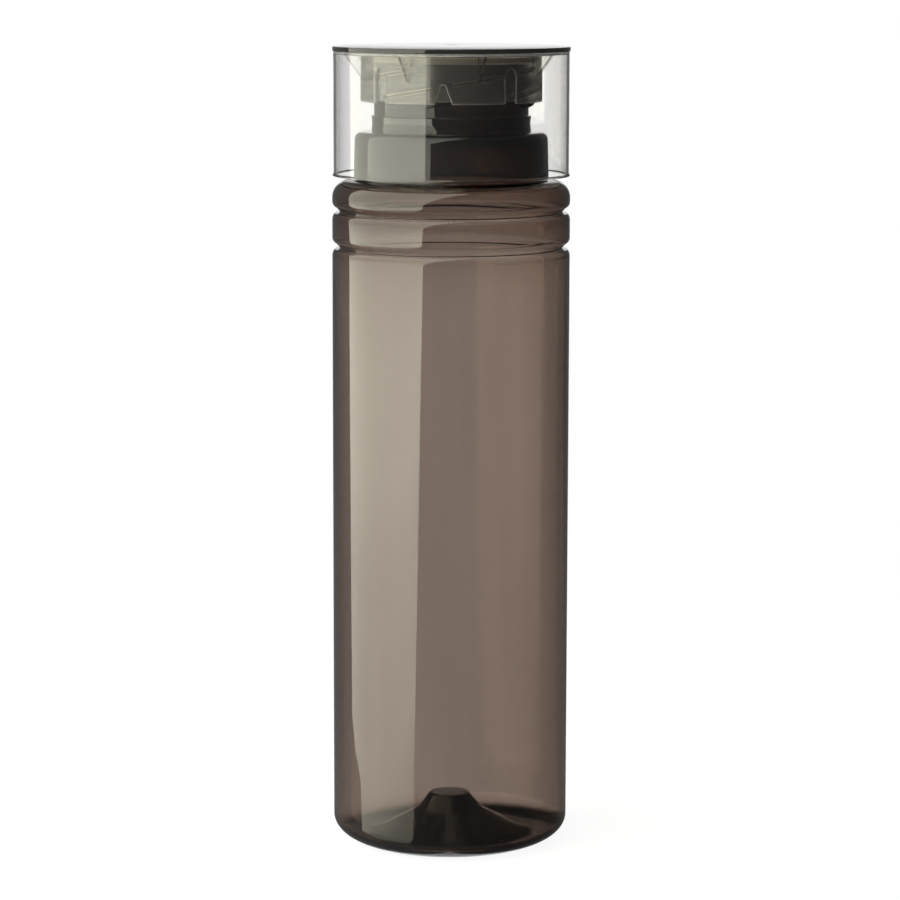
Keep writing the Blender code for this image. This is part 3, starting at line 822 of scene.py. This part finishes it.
def dull_skirt(material):
    """Roughen the cap's skirt, above all its inner face, and let it scatter a little light."""
    tree, add = nodes_of(material)
    height, reach = height_and_reach(tree, add)
    end = BOSS_Z - SKIRT_FADE
    roughen(material, height, BOSS_Z, end, SKIRT_ROUGHNESS)
    within = add("ShaderNodeMapRange", From_Min=BOSS_Z, From_Max=end, To_Min=0,
                 To_Max=SKIRT_INSIDE_ROUGHNESS)
    tree.links.new(height, within.inputs["Value"])
    inner_face = [SKIRT_RADIUS - SKIRT_WALL * share for share in SKIRT_INSIDE]
    roughen(material, reach, *inner_face, SKIRT_INSIDE_ROUGHNESS, within.outputs["Result"])
    # The edges of the recesses lie between the skirt's face and their floor
    low, high = (SKIRT_RADIUS - RECESS_DEPTH + SKIRT_WALL * share for share in RECESS_FLOOR)
    edges = add("ShaderNodeMapRange", From_Min=low, From_Max=high, To_Min=1 - SKIRT_HAZE,
                To_Max=1 - EDGE_HAZE)
    tree.links.new(reach, edges.inputs["Value"])
    high, low = (SKIRT_RADIUS - SKIRT_WALL * share for share in SKIRT_SKIN)
    behind_face = add("ShaderNodeMapRange", From_Min=high, From_Max=low, To_Min=1 - SKIRT_HAZE)
    tree.links.new(reach, behind_face.inputs["Value"])
    tree.links.new(edges.outputs["Result"], behind_face.inputs["To Max"])
    clear_up(material, height, BOSS_Z, end, 1 - DISC_HAZE, behind_face.outputs["Result"])


def clear_up(material, value, low, high, before, after):
    """Let a share of the light through, which changes where a node's output rises."""
    tree, add = nodes_of(material)
    clarity = add("ShaderNodeMapRange", From_Min=low, From_Max=high, To_Min=before)
    tree.links.new(value, clarity.inputs["Value"])
    if isinstance(after, bpy.types.NodeSocket):
        tree.links.new(after, clarity.inputs["To Max"])
    else:
        clarity.inputs["To Max"].default_value = after
    shader = tree.nodes["Principled BSDF"]
    tree.links.new(clarity.outputs["Result"], shader.inputs["Transmission Weight"])


def silicone():
    """Soft clouded grey of the seal ring."""
    material, tree, add = new_material("silicone")
    shader = tree.nodes["Principled BSDF"]
    place = add("ShaderNodeTexCoord")
    cloud = add("ShaderNodeTexNoise", Scale=CLOUD_SCALE, Detail=CLOUD_DETAIL, Roughness=CLOUD_ROUGHNESS)
    tree.links.new(place.outputs["Object"], cloud.inputs["Vector"])
    tone = add("ShaderNodeMix")
    tone.data_type = "RGBA"
    tone.inputs["A"].default_value = (*SILICONE_DARK, 1)
    tone.inputs["B"].default_value = (*SILICONE_PALE, 1)
    tree.links.new(cloud.outputs["Fac"], tone.inputs["Factor"])
    tree.links.new(tone.outputs["Result"], shader.inputs["Base Color"])
    shader.inputs["Roughness"].default_value = SILICONE_ROUGHNESS
    return material


def dress(piece, material, body, node):
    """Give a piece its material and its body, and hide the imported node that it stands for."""
    piece.data.materials.clear()
    piece.data.materials.append(material)
    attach(piece, body)
    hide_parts(node)


def make_camera():
    """The camera, a little above the cap's top and tilted down."""
    data = bpy.data.cameras.new("camera")
    data.lens = LENS
    data.sensor_width = SENSOR
    camera = bpy.data.objects.new("camera", data)
    camera.location = (CAMERA_SIDE, -CAMERA_DISTANCE, TOP_Z + CAMERA_ABOVE_TOP)
    look = Matrix.Rotation(pi / 2 - CAMERA_TILT, 4, "X") @ Matrix.Rotation(CAMERA_ROLL, 4, "Z")
    camera.rotation_euler = look.to_euler()
    bpy.context.scene.collection.objects.link(camera)
    bpy.context.scene.camera = camera


def softbox_material():
    """Light that grows stronger and weaker with height."""
    material, tree, add = new_material("softbox")
    tree.nodes.remove(tree.nodes["Principled BSDF"])
    glow = add("ShaderNodeEmission", Color=(*SOFTBOX_COLOUR, 1))
    place = add("ShaderNodeTexCoord")
    parts = add("ShaderNodeSeparateXYZ")
    tree.links.new(place.outputs["Object"], parts.inputs["Vector"])
    height = add("ShaderNodeMapRange", From_Min=SOFTBOX_LOW, From_Max=SOFTBOX_HIGH)
    tree.links.new(parts.outputs["Z"], height.inputs["Value"])
    fade = add("ShaderNodeValToRGB")
    fade.color_ramp.interpolation = "EASE"
    stops = fade.color_ramp.elements
    while len(stops) < len(SOFTBOX_FADE):
        # Every stop gets its own place below
        stops.new(0.5)
    for stop, (z, share) in zip(stops, SOFTBOX_FADE):
        stop.position = (z - SOFTBOX_LOW) / (SOFTBOX_HIGH - SOFTBOX_LOW)
        stop.color = (share, share, share, 1)
    tree.links.new(height.outputs["Result"], fade.inputs["Fac"])
    strength = add("ShaderNodeMath")
    strength.operation = "MULTIPLY"
    strength.inputs[1].default_value = SOFTBOX_STRENGTH
    tree.links.new(fade.outputs["Color"], strength.inputs[0])
    tree.links.new(strength.outputs["Value"], glow.inputs["Strength"])
    tree.links.new(glow.outputs["Emission"], tree.nodes["Material Output"].inputs["Surface"])
    return material


def make_softbox():
    """A wide soft panel at the left, which the curved walls reflect as a tall strip."""
    bm = bmesh.new()
    lower = [(SOFTBOX_NEAR, SOFTBOX_LEAN_Z), (-SOFTBOX_FAR, SOFTBOX_LEAN_Z), *SOFTBOX_CORNER,
             (SOFTBOX_NEAR_LOW, SOFTBOX_LOW)]
    verts = [bm.verts.new((x, -SOFTBOX_DISTANCE, z)) for x, z in lower]
    bm.faces.new(verts)
    top = [bm.verts.new((x, SOFTBOX_LEAN - SOFTBOX_DISTANCE, SOFTBOX_HIGH))
           for x in (-SOFTBOX_FAR, SOFTBOX_NEAR)]
    bm.faces.new((verts[1], verts[0], top[1], top[0]))
    bmesh.ops.transform(bm, matrix=Matrix.Rotation(-SOFTBOX_TURN, 4, "Z"), verts=bm.verts)
    mesh = bpy.data.meshes.new("softbox")
    bm.to_mesh(mesh)
    bm.free()
    panel = bpy.data.objects.new("softbox", mesh)
    bpy.context.scene.collection.objects.link(panel)
    panel.visible_camera = False
    panel.visible_shadow = False
    panel.data.materials.append(softbox_material())


def unmirrored_of(tree, add, path):
    """Node that gives 1 for a ray that no surface has mirrored or scattered, and else 0."""
    events = add("ShaderNodeMath")
    events.operation = "ADD"
    tree.links.new(path.outputs["Glossy Depth"], events.inputs[0])
    tree.links.new(path.outputs["Diffuse Depth"], events.inputs[1])
    unmirrored = add("ShaderNodeMath")
    unmirrored.operation = "LESS_THAN"
    unmirrored.inputs[1].default_value = LESS_THAN_ONE
    tree.links.new(events.outputs["Value"], unmirrored.inputs[0])
    return unmirrored


def floor_material():
    """Nearly white paper to the camera, a glow with painted shade through the plastic, and else plain
    paper.
    """
    material, tree, add = new_material("floor")
    tree.nodes.remove(tree.nodes["Principled BSDF"])
    paper = add("ShaderNodeBsdfDiffuse", Color=(FLOOR_PAPER, FLOOR_PAPER, FLOOR_PAPER, 1))
    own = add("ShaderNodeEmission", Color=(1, 1, 1, 1), Strength=FLOOR_OWN_LIGHT)
    seen = add("ShaderNodeMixShader", Fac=1 - FLOOR_ANSWER)
    nothing = add("ShaderNodeEmission", Color=(0, 0, 0, 1), Strength=0)
    tree.links.new(paper.outputs["BSDF"], seen.inputs[1])
    tree.links.new(nothing.outputs["Emission"], seen.inputs[2])
    summed = add("ShaderNodeAddShader")
    tree.links.new(seen.outputs["Shader"], summed.inputs[0])
    tree.links.new(own.outputs["Emission"], summed.inputs[1])
    # Seen through the plastic, the floor's glow has painted shade that darkens it towards the foot of
    # the bottle
    place = add("ShaderNodeTexCoord")
    reach = add("ShaderNodeVectorMath")
    reach.operation = "DISTANCE"
    reach.inputs[1].default_value = FLOOR_SHADE_MIDDLE
    tree.links.new(place.outputs["Object"], reach.inputs[0])
    clear = add("ShaderNodeMapRange", From_Min=FLOOR_SHADE_START, From_Max=FLOOR_SHADE_END,
                To_Min=0, To_Max=1)
    clear.interpolation_type = "SMOOTHERSTEP"
    tree.links.new(reach.outputs["Value"], clear.inputs["Value"])
    path = add("ShaderNodeLightPath")
    unmirrored = unmirrored_of(tree, add, path)
    glow = add("ShaderNodeEmission", Color=(1, 1, 1, 1))
    tree.links.new(clear.outputs["Result"], glow.inputs["Strength"])
    let_through = add("ShaderNodeBsdfTransparent")
    through = add("ShaderNodeMixShader")
    tree.links.new(unmirrored.outputs["Value"], through.inputs["Fac"])
    tree.links.new(let_through.outputs["BSDF"], through.inputs[1])
    tree.links.new(glow.outputs["Emission"], through.inputs[2])
    by_ray = add("ShaderNodeMixShader")
    tree.links.new(path.outputs["Is Camera Ray"], by_ray.inputs["Fac"])
    other = add("ShaderNodeMixShader")
    tree.links.new(path.outputs["Is Transmission Ray"], other.inputs["Fac"])
    tree.links.new(paper.outputs["BSDF"], other.inputs[1])
    tree.links.new(through.outputs["Shader"], other.inputs[2])
    tree.links.new(other.outputs["Shader"], by_ray.inputs[1])
    tree.links.new(summed.outputs["Shader"], by_ray.inputs[2])
    tree.links.new(by_ray.outputs["Shader"], tree.nodes["Material Output"].inputs["Surface"])
    return material


def make_floor():
    """A pale round floor that keeps the object's shadow and is white behind it."""
    bm = bmesh.new()
    bmesh.ops.create_circle(bm, cap_ends=True, segments=FLOOR_STEPS, radius=FLOOR_RADIUS)
    floor = mesh_piece("floor", bm)
    floor.visible_glossy = False
    floor.data.materials.append(floor_material())


def make_world():
    """White to the camera and through the plastic, and a dark studio in reflections."""
    world = bpy.data.worlds.new("studio")
    bpy.context.scene.world = world
    world.use_nodes = True
    tree, add = nodes_of(world)
    background = tree.nodes["Background"]
    path = add("ShaderNodeLightPath")
    place = add("ShaderNodeTexCoord")
    parts = add("ShaderNodeSeparateXYZ")
    tree.links.new(place.outputs["Generated"], parts.inputs["Vector"])
    flat = add("ShaderNodeCombineXYZ")
    tree.links.new(parts.outputs["X"], flat.inputs["X"])
    tree.links.new(parts.outputs["Y"], flat.inputs["Y"])
    level = add("ShaderNodeVectorMath")
    level.operation = "NORMALIZE"
    tree.links.new(flat.outputs["Vector"], level.inputs[0])
    ahead = add("ShaderNodeSeparateXYZ")
    tree.links.new(level.outputs["Vector"], ahead.inputs["Vector"])
    backdrop = add("ShaderNodeMapRange", From_Min=cos(BACKDROP_HALF_ANGLE + BACKDROP_SOFTNESS),
                   From_Max=cos(BACKDROP_HALF_ANGLE), To_Max=1)
    backdrop.interpolation_type = "SMOOTHSTEP"
    tree.links.new(ahead.outputs["Y"], backdrop.inputs["Value"])
    studio = add("ShaderNodeMapRange", From_Min=-1, From_Max=1, To_Min=STUDIO_LEFT, To_Max=STUDIO_RIGHT)
    tree.links.new(ahead.outputs["X"], studio.inputs["Value"])
    tree.links.new(studio.outputs["Result"], backdrop.inputs["To Min"])
    unmirrored = unmirrored_of(tree, add, path)
    white = add("ShaderNodeMath")
    white.operation = "MAXIMUM"
    tree.links.new(backdrop.outputs["Result"], white.inputs[0])
    tree.links.new(unmirrored.outputs["Value"], white.inputs[1])
    lit = add("ShaderNodeMix")
    tree.links.new(path.outputs["Diffuse Depth"], lit.inputs["Factor"])
    tree.links.new(white.outputs["Value"], lit.inputs["A"])
    lit.inputs["B"].default_value = STUDIO_FILL
    tree.links.new(lit.outputs["Result"], background.inputs["Strength"])
    background.inputs["Color"].default_value = (1, 1, 1, 1)


def set_rendering():
    """Plain view, and enough bounces for light to cross every wall of the cap."""
    scene = bpy.context.scene
    scene.view_settings.view_transform = "Standard"
    scene.cycles.max_bounces = WALL_BOUNCES
    scene.cycles.transmission_bounces = WALL_BOUNCES
    scene.cycles.glossy_bounces = GLOSSY_BOUNCES
    scene.cycles.diffuse_bounces = DIFFUSE_BOUNCES


def main():
    """Set the stage, make the materials and the pieces, and dress each piece."""
    make_camera()
    set_rendering()
    make_world()
    make_floor()
    make_softbox()

    smoke = plastic("smoke_plastic_body", BODY_TINT, BODY_IOR, BODY_GLOSS, BODY_RIPPLE)
    roughen_barrel_inside(smoke)
    smoke_cap = plastic("smoke_plastic_cap", CAP_TINT, CAP_IOR, CAP_GLOSS, CAP_RIPPLE)
    dull_skirt(smoke_cap)
    thin_cap = plastic("smoke_plastic_gussets", GUSSET_TINT, CAP_IOR, GUSSET_GLOSS, CAP_RIPPLE)
    clear = plastic("clear_plastic", SLEEVE_TINT, SLEEVE_IOR, SLEEVE_GLOSS, SLEEVE_RIPPLE)
    height, _ = height_and_reach(*nodes_of(clear))
    clear_up(clear, height, LEDGE_Z - SLEEVE_LEDGE * LEDGE_FADE, LEDGE_Z - SLEEVE_LEDGE,
             1, 1 - LEDGE_HAZE)

    body = make_body()
    cap = make_cap()
    sleeve = turned("clear_sleeve", sleeve_profile(), True)
    seal = turned("silicone_seal", seal_profile(), True)
    braces = gussets()
    for piece in (body, cap, sleeve, seal, braces):
        shade(piece)
    dress(body, smoke, "bottle", "bottle_body")
    dress(cap, smoke_cap, "cap", "screw_cap")
    dress(braces, thin_cap, "cap", "screw_cap")
    dress(sleeve, clear, "cap", "cap_sleeve")
    dress(seal, silicone(), "seal", "cap_seal")


main()
